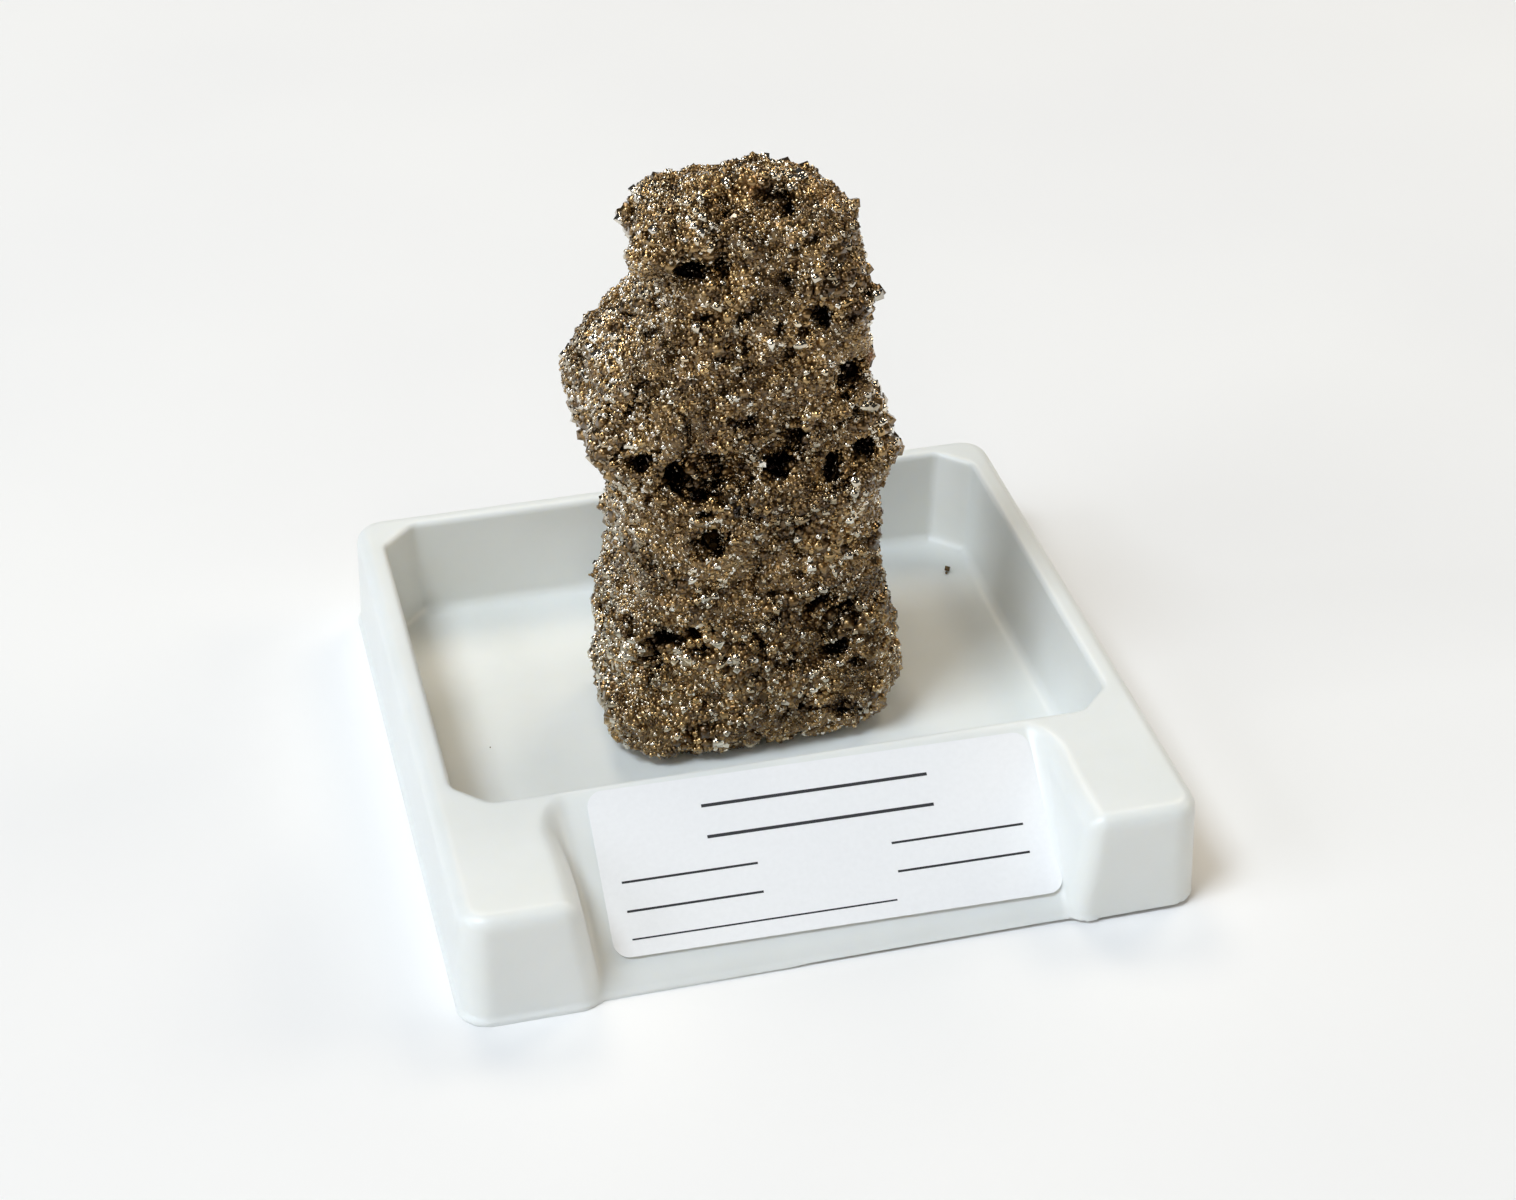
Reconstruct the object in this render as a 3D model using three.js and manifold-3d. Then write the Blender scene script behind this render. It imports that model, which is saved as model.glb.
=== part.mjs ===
// A block of fine-grained pyrite standing in the well of a small white display tray.
// Millimetres, +Z up. X runs along the tray's front edge, Y from the front to the back.
// The origin is on the surface the tray stands on, under the middle of its box.

import * as THREE from 'three';
import { mergeVertices } from 'three/addons/utils/BufferGeometryUtils.js';
import Module from 'manifold-3d';

// Driving dimensions of the tray
const TRAY_WIDTH = 110;
const TRAY_DEPTH = 108.8;
const TRAY_HEIGHT = 18;
const CORNER_RADIUS = 4.5;
const SHEET = 1.2;
const LIP_HEIGHT = 0.9;
const LIP_WIDTH = 0.45;
const LIP_SHOULDER = 0.2;
const SIDE_DRAFT = 0.5;
const RIM_FILLET = 1.6;

// The well that holds the block, measured at the rim
const WELL_HALF_WIDTH = 50;
const WELL_FRONT = 27.8;
const WELL_BACK = 104.1;
const WELL_CHAMFER = 5;
const WELL_FLOOR = 1.5;
const WELL_DRAFT = 1.3;
const WELL_FILLET = 1.4;
const RIM_EASE = 0.7;
const CLEARANCE = 1;

// The label ramp between the two front pads
const RAMP_ANGLE = THREE.MathUtils.degToRad(32.3);
const RAMP_TOP_Y = 26.5;
const RAMP_FOOT_Y = 3.2;
const RAMP_FOOT_ANGLE = THREE.MathUtils.degToRad(50);
const RAMP_HALF_WIDTH = 34.8;
const RAMP_FLARE = 3.2;
const GROOVE_DRAFT = 0.18;
const GROOVE_FRONT_Y = -4;
const GROOVE_BACK_Y = 29.5;

const LABEL_WIDTH = 66.7;
const LABEL_HEIGHT = 25.4;
const LABEL_CORNER = 2.4;
const LABEL_THICKNESS = 0.15;
const LABEL_GAP = 0.05;
const LABEL_TOP_MARGIN = 0.8;
const LABEL_TURN = THREE.MathUtils.degToRad(-0.9);
const LABEL_SHIFT = 1.8;

// The block stands with its middle over the middle of the well.
const ROCK_MIDDLE_Y = 66;
const ROCK_BASE = WELL_FLOOR;
const ROCK_SEGMENTS = 48;
const ROCK_RINGS = 40;
const CORNER_POWER = 4.2;
const CROWN_RISE = 0.9;
const CROWN_SHARE = 0.9;
const FOOT_CLEARANCE = 0.4;

// Lumps of the skin: how far apart they are, and how far they push it out or in
const LUMPS = [[11, 1.2], [5, 0.9], [2.4, 0.6]];

// The block's sides at each height above the surface: height, left, right, front, back.
const ROCK_SECTIONS = [
  [1.5, -17.5, 19.5, 52.5, 77],
  [4, -21.6, 23.4, 49.8, 80.5],
  [9, -21.9, 26.4, 49.6, 82],
  [13, -20.4, 26.2, 50, 82.5],
  [17, -20.3, 24.9, 50.4, 82.5],
  [24, -20.7, 23.4, 51, 82.2],
  [31, -18.3, 22.6, 51.3, 82],
  [38, -18.4, 22.6, 51.4, 82],
  [43, -19, 21.7, 51.4, 82],
  [46.5, -18.4, 24.4, 51.2, 82.5],
  [50, -21.2, 25.2, 51.2, 83],
  [56, -23.2, 22.7, 51.4, 83],
  [60, -23.4, 20.6, 51.8, 82.5],
  [65, -21.8, 21.1, 52, 82],
  [68.5, -19.6, 21.1, 52.4, 82],
  [72.5, -15.4, 21.1, 53.2, 81.5],
  [77, -12.8, 20.9, 53.8, 80.5],
  [80.5, -12, 20.4, 54.4, 79.5],
  [83.5, -13.6, 18.9, 56, 79],
  [86, -13.8, 18.7, 55.6, 77.5],
  [90, -12.2, 16.4, 57.4, 75.5],
  [92.5, -8.5, 10.8, 60, 73],
];

// Knobs fused to the skin: x, y, z of the middle, half width, half depth, half height.
const KNOBS = [
  [4.4, 66, 93.6, 3.6, 4.6, 2.8],
  [-4.8, 64.5, 92, 4.2, 5, 2.8],
  [-11.2, 61.5, 85, 4.4, 5.4, 3.8],
  [-17.6, 57, 9.5, 4.6, 5, 4.6],
  [20.8, 60, 48.6, 4.6, 7, 3.4],
];
const KNOB_ROUGHNESS = 0.18;

// Pits in the front and left faces: x, y, z of the mouth, half width, half height, depth.
const PITS = [
  [-9.4, 50.6, 52.2, 3.2, 3.4, 6],
  [-4.2, 50.6, 52, 3.4, 2.6, 6],
  [5.9, 50.6, 54.8, 2.8, 3.4, 5.5],
  [13.6, 50.6, 49.8, 2.8, 2.4, 5],
  [18.2, 51, 51, 2.4, 2.2, 4.5],
  [-6.4, 50.6, 40.6, 2.2, 2, 5],
  [10.6, 50.4, 25.6, 2.6, 1.5, 4],
  [14.6, 50.4, 22.8, 2.6, 1.6, 4.5],
  [13.4, 50, 17.6, 2.4, 1.7, 4],
  [-13.4, 50.4, 23.6, 2.8, 1.6, 3.6],
  [-16.4, 50.9, 20.6, 2.2, 1.5, 3.4],
  [-16.3, 51.4, 55.6, 2, 1.3, 3],
  [17.4, 52.4, 64.4, 2.4, 3.2, 4],
  [11.4, 53.8, 75.4, 2, 1.8, 3],
  [-14.6, 58, 77.6, 1.8, 1.6, 3],
  [-6.6, 56, 84.2, 5, 1.8, 3.4],
  [6.4, 62, 93, 3.2, 2.4, 2.6],
];

// Crystals that stand proud of the block
const CRYSTAL_COUNT = 100;
const CRYSTAL_MIN = 1.5;
const CRYSTAL_MAX = 3.2;
const CRYSTAL_SINK = 0.32;
const CRYSTAL_LOWEST = 5.5;
const CRYSTAL_HIGHEST = 90;
const PIT_MARGIN = 1.25;

const wasm = await Module();
wasm.setup();

const materials = {
  pyrite: new THREE.MeshStandardMaterial({ color: '#7d7058', roughness: 0.38, metalness: 0.9 }),
  tray: new THREE.MeshStandardMaterial({ color: '#e6ebe9', roughness: 0.35, metalness: 0 }),
  label: new THREE.MeshStandardMaterial({ color: '#f3f4f6', roughness: 0.7, metalness: 0 }),
};

// A closed mesh as a solid that can be joined and cut.
function toSolid(geometry) {
  const bare = geometry.clone();
  bare.deleteAttribute('normal');
  bare.deleteAttribute('uv');
  const merged = mergeVertices(bare, 1e-4);
  return new wasm.Manifold(new wasm.Mesh({
    numProp: 3,
    vertProperties: Float32Array.from(merged.attributes.position.array),
    triVerts: Uint32Array.from(merged.index.array),
  }));
}

// A joined or cut solid as geometry again.
function toGeometry(solid) {
  const { vertProperties, triVerts } = solid.getMesh();
  const geometry = new THREE.BufferGeometry();
  geometry.setAttribute('position', new THREE.BufferAttribute(vertProperties, 3));
  geometry.setIndex(new THREE.BufferAttribute(triVerts, 1));
  geometry.computeVertexNormals();
  return geometry;
}

// A rectangle with round corners about the origin.
function roundedRectangle(width, depth, radius) {
  const x = width / 2;
  const y = depth / 2;
  const shape = new THREE.Shape();
  shape.moveTo(-x + radius, -y);
  shape.absarc(x - radius, -y + radius, radius, -Math.PI / 2, 0);
  shape.absarc(x - radius, y - radius, radius, 0, Math.PI / 2);
  shape.absarc(-x + radius, y - radius, radius, Math.PI / 2, Math.PI);
  shape.absarc(-x + radius, -y + radius, radius, Math.PI, Math.PI * 1.5);
  return shape;
}

// A rectangle with its corners cut at 45 degrees, about the origin.
function chamferedRectangle(width, depth, chamfer) {
  const x = width / 2;
  const y = depth / 2;
  return new THREE.Shape([
    new THREE.Vector2(-x + chamfer, -y),
    new THREE.Vector2(x - chamfer, -y),
    new THREE.Vector2(x, -y + chamfer),
    new THREE.Vector2(x, y - chamfer),
    new THREE.Vector2(x - chamfer, y),
    new THREE.Vector2(-x + chamfer, y),
    new THREE.Vector2(-x, y - chamfer),
    new THREE.Vector2(-x, -y + chamfer),
  ]);
}

// Extrudes an outline through levels of [height, inset], the inset taken off every side.
function drafted(shape, width, depth, levels, curveSegments = 4) {
  const steps = levels.length - 1;
  const geometry = new THREE.ExtrudeGeometry(shape, {
    depth: steps, steps, curveSegments, bevelEnabled: false,
  });
  const position = geometry.attributes.position;
  for (let i = 0; i < position.count; i += 1) {
    const [height, inset] = levels[Math.round(position.getZ(i))];
    position.setXYZ(
      i,
      position.getX(i) * (1 - (2 * inset) / width),
      position.getY(i) * (1 - (2 * inset) / depth),
      height,
    );
  }
  return geometry;
}

// The tray's outer form: a lip at the foot, drafted walls and a rounded rim.
function outerForm(offset) {
  const wallInset = LIP_WIDTH + offset;
  const top = TRAY_HEIGHT - offset;
  const levels = offset > 0
    ? [[-CLEARANCE, wallInset], [top - RIM_FILLET, wallInset + SIDE_DRAFT]]
    : [
      [0, 0],
      [LIP_HEIGHT, 0],
      [LIP_HEIGHT + LIP_SHOULDER, wallInset],
      [top - RIM_FILLET, wallInset + SIDE_DRAFT],
    ];
  for (const angle of [30, 60, 90].map(THREE.MathUtils.degToRad)) {
    levels.push([
      top - RIM_FILLET * (1 - Math.sin(angle)),
      wallInset + SIDE_DRAFT + RIM_FILLET * (1 - Math.cos(angle)),
    ]);
  }
  const shape = roundedRectangle(TRAY_WIDTH, TRAY_DEPTH, CORNER_RADIUS);
  const geometry = drafted(shape, TRAY_WIDTH, TRAY_DEPTH, levels);
  return geometry.translate(0, TRAY_DEPTH / 2, 0);
}

// The well, from below its floor to above the rim. An offset grows it by the sheet's thickness.
function wellForm(offset) {
  const width = 2 * WELL_HALF_WIDTH;
  const depth = WELL_BACK - WELL_FRONT;
  const floor = offset > 0 ? -CLEARANCE : WELL_FLOOR;
  const levels = [
    [floor, WELL_DRAFT + WELL_FILLET - offset],
    [WELL_FLOOR + 0.3 * WELL_FILLET, WELL_DRAFT + 0.3 * WELL_FILLET - offset],
    [WELL_FLOOR + WELL_FILLET, WELL_DRAFT - offset],
    [TRAY_HEIGHT - RIM_EASE, -offset],
    [TRAY_HEIGHT + 0.1, -RIM_EASE - offset],
    [TRAY_HEIGHT + CLEARANCE, -RIM_EASE - offset],
  ];
  const geometry = drafted(chamferedRectangle(width, depth, WELL_CHAMFER), width, depth, levels);
  return geometry.translate(0, (WELL_FRONT + WELL_BACK) / 2, 0);
}

// Height of the ramp at a distance y from the front. Its foot falls more steeply.
function rampHeight(y) {
  const plane = TRAY_HEIGHT + (Math.max(y, RAMP_FOOT_Y) - RAMP_TOP_Y) * Math.tan(RAMP_ANGLE);
  return plane - Math.max(0, RAMP_FOOT_Y - y) * Math.tan(RAMP_FOOT_ANGLE);
}

// The space over the ramp, between the pads, whose sides open upwards.
function grooveForm(offset) {
  const clear = TRAY_HEIGHT + 2 * CLEARANCE;
  const drop = offset / Math.cos(RAMP_ANGLE);
  const along = [GROOVE_FRONT_Y, 0.5, RAMP_FOOT_Y, 8, 14, 20, 24, GROOVE_BACK_Y];
  const profile = new THREE.Shape([
    ...along.map((y) => new THREE.Vector2(y, rampHeight(y) - drop)),
    ...along.toReversed().map((y) => new THREE.Vector2(y, clear)),
  ]);
  const half = RAMP_HALF_WIDTH + offset;
  const geometry = new THREE.ExtrudeGeometry(profile, { depth: 2 * half, bevelEnabled: false });
  const position = geometry.attributes.position;
  for (let i = 0; i < position.count; i += 1) {
    const y = position.getX(i);
    const z = position.getY(i);
    const side = position.getZ(i) > half ? 1 : -1;
    const above = Math.max(0, z - rampHeight(y) + drop);
    const flare = RAMP_FLARE * (Math.max(0, y) / RAMP_TOP_Y) ** 2;
    position.setXYZ(i, side * (half + flare + GROOVE_DRAFT * above), y, z);
  }
  return geometry;
}

// The formed tray: a sheet of even thickness, hollow and open underneath.
function makeTray() {
  const hollow = toSolid(outerForm(SHEET))
    .subtract(toSolid(wellForm(SHEET)))
    .subtract(toSolid(grooveForm(SHEET)));
  const tray = toSolid(outerForm(0))
    .subtract(toSolid(wellForm(0)))
    .subtract(toSolid(grooveForm(0)))
    .subtract(hollow);
  return toGeometry(tray);
}

// The paper label, a thin slab flat on the ramp.
function makeLabel() {
  const shape = roundedRectangle(LABEL_WIDTH, LABEL_HEIGHT, LABEL_CORNER);
  const geometry = new THREE.ExtrudeGeometry(shape, {
    depth: LABEL_THICKNESS, bevelEnabled: false, curveSegments: 4,
  });
  geometry.translate(0, -LABEL_HEIGHT / 2 - LABEL_TOP_MARGIN, LABEL_GAP);
  geometry.rotateZ(LABEL_TURN);
  geometry.rotateX(RAMP_ANGLE);
  return geometry.translate(LABEL_SHIFT, RAMP_TOP_Y, TRAY_HEIGHT);
}

// A repeatable sequence of numbers from 0 to 1.
function makeRandom(seed) {
  let state = seed;
  return () => {
    state = (state * 1664525 + 1013904223) % 4294967296;
    return state / 4294967296;
  };
}

// Smooth noise from -1 to 1 over a lattice of whole numbers.
function noise(x, y, z) {
  const lattice = (i, j, k) => {
    const value = Math.sin(i * 127.1 + j * 311.7 + k * 74.7) * 43758.5453;
    return 2 * (value - Math.floor(value)) - 1;
  };
  const [i, j, k] = [Math.floor(x), Math.floor(y), Math.floor(z)];
  const ease = (t) => t * t * (3 - 2 * t);
  const [u, v, w] = [ease(x - i), ease(y - j), ease(z - k)];
  const mix = THREE.MathUtils.lerp;
  const row = (b, c) => mix(lattice(i, j + b, k + c), lattice(i + 1, j + b, k + c), u);
  return mix(mix(row(0, 0), row(1, 0), v), mix(row(0, 1), row(1, 1), v), w);
}

// The block's left, right, front and back at a height, eased between the sections.
function sectionAt(height) {
  const last = ROCK_SECTIONS.length - 1;
  let k = 0;
  while (k < last - 1 && ROCK_SECTIONS[k + 1][0] < height) k += 1;
  const [low, high] = [ROCK_SECTIONS[k], ROCK_SECTIONS[k + 1]];
  const t = THREE.MathUtils.clamp((height - low[0]) / (high[0] - low[0]), 0, 1);
  return low.slice(1).map((value, side) => THREE.MathUtils.lerp(value, high[side + 1], t));
}

// A point of the block's skin before pits: angle around it, height up it.
function skinPoint(angle, height) {
  const [left, right, front, back] = sectionAt(height);
  const c = Math.cos(angle);
  const s = Math.sin(angle);
  const reach = (Math.abs(c) ** CORNER_POWER + Math.abs(s) ** CORNER_POWER) ** (-1 / CORNER_POWER);
  const x = (left + right) / 2 + ((right - left) / 2) * reach * c;
  const y = (front + back) / 2 + ((back - front) / 2) * reach * s;
  return new THREE.Vector3(x, y, height);
}

// How far the skin is pushed out by lumps at a point.
function lumps(point) {
  const heights = LUMPS.map(([apart, high]) => (
    high * noise(point.x / apart + high * 40, point.y / apart, point.z / apart)
  ));
  return heights.reduce((sum, height) => sum + height, 0);
}

// How far a point is sunk by the pits near it.
function pitDepth(point) {
  let depth = 0;
  for (const [x, y, z, halfWidth, halfHeight, deep] of PITS) {
    const across = Math.hypot(point.x - x, point.y - y) / (halfWidth * PIT_MARGIN);
    const up = (point.z - z) / (halfHeight * PIT_MARGIN);
    const fall = Math.max(0, 1 - across * across - up * up);
    depth = Math.max(depth, deep * Math.sqrt(fall));
  }
  return depth;
}

// The block's body: a closed skin of rings with a flat foot and a capped top.
function rockBody() {
  const foot = ROCK_SECTIONS[0][0];
  const crown = ROCK_SECTIONS[ROCK_SECTIONS.length - 1][0];
  const geometry = new THREE.CylinderGeometry(1, 1, 1, ROCK_SEGMENTS, ROCK_RINGS);
  geometry.rotateX(Math.PI / 2);
  const position = geometry.attributes.position;
  const point = new THREE.Vector3();
  for (let i = 0; i < position.count; i += 1) {
    point.fromBufferAttribute(position, i);
    const share = point.z + 0.5;
    const height = THREE.MathUtils.lerp(foot, crown, share);
    const onAxis = Math.hypot(point.x, point.y) < 0.5;
    if (onAxis) {
      const [left, right, front, back] = sectionAt(height);
      position.setXYZ(i, (left + right) / 2, (front + back) / 2, share > 0.5 ? height + CROWN_RISE : height);
      continue;
    }
    const angle = Math.atan2(point.y, point.x);
    const skin = skinPoint(angle, height);
    const outward = new THREE.Vector3(skin.x, skin.y - ROCK_MIDDLE_Y, 0).normalize();
    outward.z = Math.max(0, (share - CROWN_SHARE) / (1 - CROWN_SHARE));
    outward.normalize();
    const push = share === 0 ? 0 : lumps(skin) - pitDepth(skin);
    skin.addScaledVector(outward, push);
    skin.z = Math.max(skin.z, ROCK_BASE);
    if (share > 0) skin.z = Math.max(skin.z, ROCK_BASE + FOOT_CLEARANCE);
    position.setXYZ(i, skin.x, skin.y, skin.z);
  }
  return geometry;
}

// Flat-faced crystals, tilted every way, set into the skin.
function crystal(random) {
  const angle = random() * Math.PI * 2;
  const height = THREE.MathUtils.lerp(CRYSTAL_LOWEST, CRYSTAL_HIGHEST, random());
  const size = THREE.MathUtils.lerp(CRYSTAL_MIN, CRYSTAL_MAX, random() ** 2);
  const skin = skinPoint(angle, height);
  const outward = new THREE.Vector3(skin.x, skin.y - ROCK_MIDDLE_Y, 0).normalize();
  skin.addScaledVector(outward, lumps(skin) - pitDepth(skin) - CRYSTAL_SINK * size);
  const geometry = new THREE.BoxGeometry(size, size, size);
  geometry.rotateX(random() * Math.PI);
  geometry.rotateY(random() * Math.PI);
  geometry.rotateZ(random() * Math.PI);
  return geometry.translate(skin.x, skin.y, skin.z);
}

// A rough rounded lump.
function knob([x, y, z, halfWidth, halfDepth, halfHeight]) {
  const geometry = new THREE.IcosahedronGeometry(1, 2);
  const position = geometry.attributes.position;
  const point = new THREE.Vector3();
  for (let i = 0; i < position.count; i += 1) {
    point.fromBufferAttribute(position, i);
    point.multiplyScalar(1 + KNOB_ROUGHNESS * noise(point.x * 2 + x, point.y * 2 + y, point.z * 2 + z));
    position.setXYZ(i, x + point.x * halfWidth, y + point.y * halfDepth, z + point.z * halfHeight);
  }
  return geometry;
}

// The whole block, its knobs and crystals fused to it.
function makeRock() {
  const random = makeRandom(20);
  const crystals = Array.from({ length: CRYSTAL_COUNT }, () => toSolid(crystal(random)));
  const knobs = KNOBS.map((row) => toSolid(knob(row)));
  return toGeometry(wasm.Manifold.union([toSolid(rockBody()), ...knobs, ...crystals]));
}

const group = new THREE.Group();
const builders = { tray: makeTray, label: makeLabel, pyrite: makeRock };
for (const [name, make] of Object.entries(builders)) {
  const mesh = new THREE.Mesh(make(), materials[name]);
  mesh.name = name;
  group.add(mesh);
}

// The origin moves to the middle of the tray's box.
group.position.set(0, -TRAY_DEPTH / 2, 0);

export default group;
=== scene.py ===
# A block of fine-grained pyrite in a white display tray: the finish of every surface, the camera and
# the light. Metres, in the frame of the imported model: X along the tray's front edge, Y to the back, Z up.
# The forms of the tray, the label and the block's relief are worked out in millimetres.

import math

import bpy
import numpy as np
from mathutils import Matrix, Vector, kdtree, noise


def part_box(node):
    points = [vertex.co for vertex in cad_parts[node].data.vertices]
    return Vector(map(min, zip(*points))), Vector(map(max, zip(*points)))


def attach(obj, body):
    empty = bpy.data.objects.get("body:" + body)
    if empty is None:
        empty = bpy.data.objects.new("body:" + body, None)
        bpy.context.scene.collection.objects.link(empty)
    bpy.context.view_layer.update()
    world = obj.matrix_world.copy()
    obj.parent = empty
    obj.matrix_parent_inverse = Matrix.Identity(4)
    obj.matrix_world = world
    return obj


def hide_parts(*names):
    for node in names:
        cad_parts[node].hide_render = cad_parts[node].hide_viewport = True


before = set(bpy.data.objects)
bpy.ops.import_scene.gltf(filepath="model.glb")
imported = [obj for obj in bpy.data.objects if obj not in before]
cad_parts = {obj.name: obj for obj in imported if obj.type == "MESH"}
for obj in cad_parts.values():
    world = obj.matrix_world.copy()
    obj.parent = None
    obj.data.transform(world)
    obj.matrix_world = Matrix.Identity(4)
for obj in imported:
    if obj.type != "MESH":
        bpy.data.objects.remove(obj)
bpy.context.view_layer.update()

MM = 0.001

# The camera, fitted to the photograph: 1516 x 1200 pixels, no shift
IMAGE_WIDTH = 1516
FOCAL_PIXELS = 3034.47
SENSOR_WIDTH = 36.0
CAMERA_PLACE = Vector((-90.6, -372.3, 286.5)) * MM
CAMERA_AZIMUTH = math.radians(-13.88)
CAMERA_ELEVATION = math.radians(34.02)
CAMERA_ROLL = math.radians(-0.40)
CAMERA_NEAREST = 10 * MM

# The soft lights, which all face the object: name, place and size in metres, power in watts, colour
LIGHT_AIM = (0, 0, 0.03)
SOFT_LIGHTS = [
    ("key_softbox", (-1.4, -0.58, 2.8), (1.1, 1.1), 64, "#eaf5ff"),
    ("front_panel", (-0.73, -2.73, 1.5), (1.3, 1.0), 13, "#fff1da"),
    ("left_panel", (-2.8, -0.6, 1.4), (1.8, 1.6), 26, "#f4f8ff"),
    ("right_panel", (2.83, 0.0, 1.5), (1.2, 1.0), 15, "#fff1da"),
    ("back_panel_right", (1.6, 1.4, 2.4), (1.0, 1.0), 20, "#fff1da"),
    ("back_panel_left", (-0.17, 1.96, 2.52), (1.0, 1.0), 18, "#fff1da"),
]

# Small bare lamps that only the flat crystal faces catch: their places, width and power
GLINT_LAMPS = [(-0.8, -1.8, 1.8), (1.0, -1.4, 2.0), (-1.8, -1.2, 1.0), (0.2, -1.0, 2.6), (-1.6, 0.1, 1.2)]
GLINT_LAMP_WIDTH = 0.1
GLINT_LAMP_POWER = 0.7

# The room around the table
ROOM_COLOUR = "#f2f4f6"
ROOM_STRENGTH = 0.06
TABLE_HALF_WIDTH = 1.5

# Sizes of the patterns in the materials
TARNISH_PATCH = 6 * MM
GROWTH_STEP = 0.35 * MM
GROWTH_STEP_TURN = 0.07
PLASTIC_HAZE = 18 * MM
PLASTIC_PEEL = 2.5 * MM
PAPER_FIBRE = 0.7 * MM
SWEEP_CLOUD = 125 * MM

# The block's skin, which lies a little under the solid's surface, with crystals on it
SEED = 7
SKIN_VOXEL = 0.5 * MM
SKIN_RECESS = 0.55 * MM
SKIN_CLEANEST = 0.8
# Painted shade: the skin shows only in the gaps between crystals, so it is always darkened at least this
# much
SHADE_BETWEEN_CRYSTALS = 0.45

# Relief of the skin, in millimetres. Each shift reads the noise at a place of its own.
LUMPS = [(6.5, 1.7, 0.22), (2.9, 1.1, 0.2)]  # Spacing, height, and the share of it that the creases sink
HIGHEST_LUMP = 0.4
GRAIN_SPACING = 1.2
GRAIN_HEIGHT = 0.3
SMALL_PIT_SPACING = 2.6
SMALL_PIT_SHIFT = (31, 7, 11)
SMALL_PIT_RARITY = 0.38
SMALL_PIT_DEPTH = 6.0
# Painted shade: SMALL_PIT_SHADE and CRACK_SHADE set how much the small pits and the cracks are darkened
SMALL_PIT_SHADE = 3.0
CRACK_SPACING = 5.2
CRACK_SHIFT = (5, 19, 3)
CRACK_WIDTH = 0.11
CRACK_DEPTH = 1.8
CRACK_SHADE = 0.7
CRACKED_PATCH_SPACING = 9
CRACKED_PATCH_SHIFT = (2, 41, 8)
CRACKED_SHARE = 0.3
CRACKED_CONTRAST = 2.4

# Crystals: how many start and how large they grow, then their form and place as shares of their edge
CRYSTAL_SEEDS = 120000
CRYSTALS_PER_PIECE = 16500
CRYSTAL_MEDIAN = 0.42 * MM
CRYSTAL_SPREAD = 0.40
CRYSTAL_LARGEST = 1.7 * MM
CRYSTAL_ROOM = 0.78
CRYSTAL_REACH = 0.95
CRYSTAL_LIFTS = (-0.35, 0.05)
CRYSTAL_STRETCHES = (0.8, 1.2)

# Coarse and fine patches of crystals
COARSE_PATCH = 9 * MM
COARSE_CONTRAST = 0.9
COARSE_RANGE = (-0.5, 0.6)

# Crystals that face left are cleaner and so lighter: partly a fresher break, partly painted light for the
# light that falls on that side. The values are how far left a crystal must face, how fast that tells,
# and how much cleaner it then is.
LEFT_FRESH_AND_LIT_START = 0.2
LEFT_FRESH_AND_LIT_RISE = 1.6
LEFT_FRESH_AND_LIT_EFFECT = 1.6

# A crystal is a block: its corners for an edge of 1, and its faces
CUBE_CORNERS = np.array([(x, y, z) for x in (-1, 1) for y in (-1, 1) for z in (-1, 1)]) / 2
CUBE_FACES = np.array([(0, 1, 3, 2), (4, 6, 7, 5), (0, 4, 5, 1), (2, 3, 7, 6), (0, 2, 6, 4), (1, 5, 7, 3)])

# Open pits of the block in millimetres from the tray's middle:
# x, y, z of the mouth, half width, half height, depth
VUGS = [
    (-9.6, -3.6, 52.4, 2.6, 2.7, 6.0),
    (-4.6, -3.6, 52.0, 3.2, 1.9, 6.0),
    (-6.8, -3.6, 49.6, 3.6, 1.2, 4.0),
    (5.9, -3.4, 55.6, 2.6, 2.0, 5.5),
    (4.4, -3.4, 52.4, 2.6, 1.3, 4.5),
    (13.2, -3.4, 50.6, 1.6, 2.2, 4.5),
    (17.6, -3.0, 52.2, 2.2, 1.6, 4.5),
    (-6.4, -3.6, 40.8, 2.0, 1.6, 5.0),
    (10.4, -3.6, 26.4, 1.9, 1.5, 4.0),
    (14.2, -3.6, 23.8, 2.4, 1.1, 4.5),
    (13.2, -4.0, 17.8, 2.2, 1.2, 4.0),
    (16.4, -4.0, 15.4, 1.3, 0.9, 3.0),
    (-13.4, -3.8, 23.4, 2.6, 1.0, 3.4),
    (-16.4, -3.4, 20.4, 1.6, 1.1, 3.0),
    (-8.6, -3.8, 22.0, 2.0, 0.8, 2.6),
    (-16.4, -3.0, 55.4, 1.6, 0.9, 3.0),
    (-13.6, 2.5, 78.6, 1.5, 1.2, 3.0),
    (-17.0, 3.5, 74.4, 2.0, 1.0, 3.0),
    (16.4, -2.0, 64.2, 1.8, 2.6, 4.0),
    (11.4, -0.6, 75.2, 1.3, 1.2, 3.0),
    (-6.6, 1.0, 83.4, 2.6, 0.8, 3.0),
    (7.0, 4.0, 92.4, 2.4, 1.2, 2.6),
    (-0.6, -3.0, 60.4, 1.5, 0.7, 2.6),
    (-16.0, -3.4, 36.8, 1.2, 0.8, 2.4),
]

# How the open pits widen, how far they run in, how dark their painted shade is, and the share of crystals
# left in them
VUG_SPREAD = 1.25
VUG_HALF_LENGTH = 4
VUG_RAGS = [(1.5, 0.45), (0.7, 0.25)]  # Spacing and reach of the notches in their rims
VUG_SHADE = 2.4
VUG_INNER_SHADE = 0.6
KEPT_IN_VUGS = 0.25

# Rust spots in millimetres: x, y, z and radius
RUST_SPOTS = [
    (2.6, 6.0, 94.2, 1.9),
    (-24.6, 3.5, 66.0, 1.8),
    (-18.6, 0.5, 69.5, 1.3),
    (-23.0, -2.0, 52.0, 1.2),
    (20.6, 2.0, 66.0, 1.8),
    (-15.0, -2.5, 83.0, 1.2),
    (-6.0, -3.0, 58.0, 1.2),
]
RUST_REACH = 1.2

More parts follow.
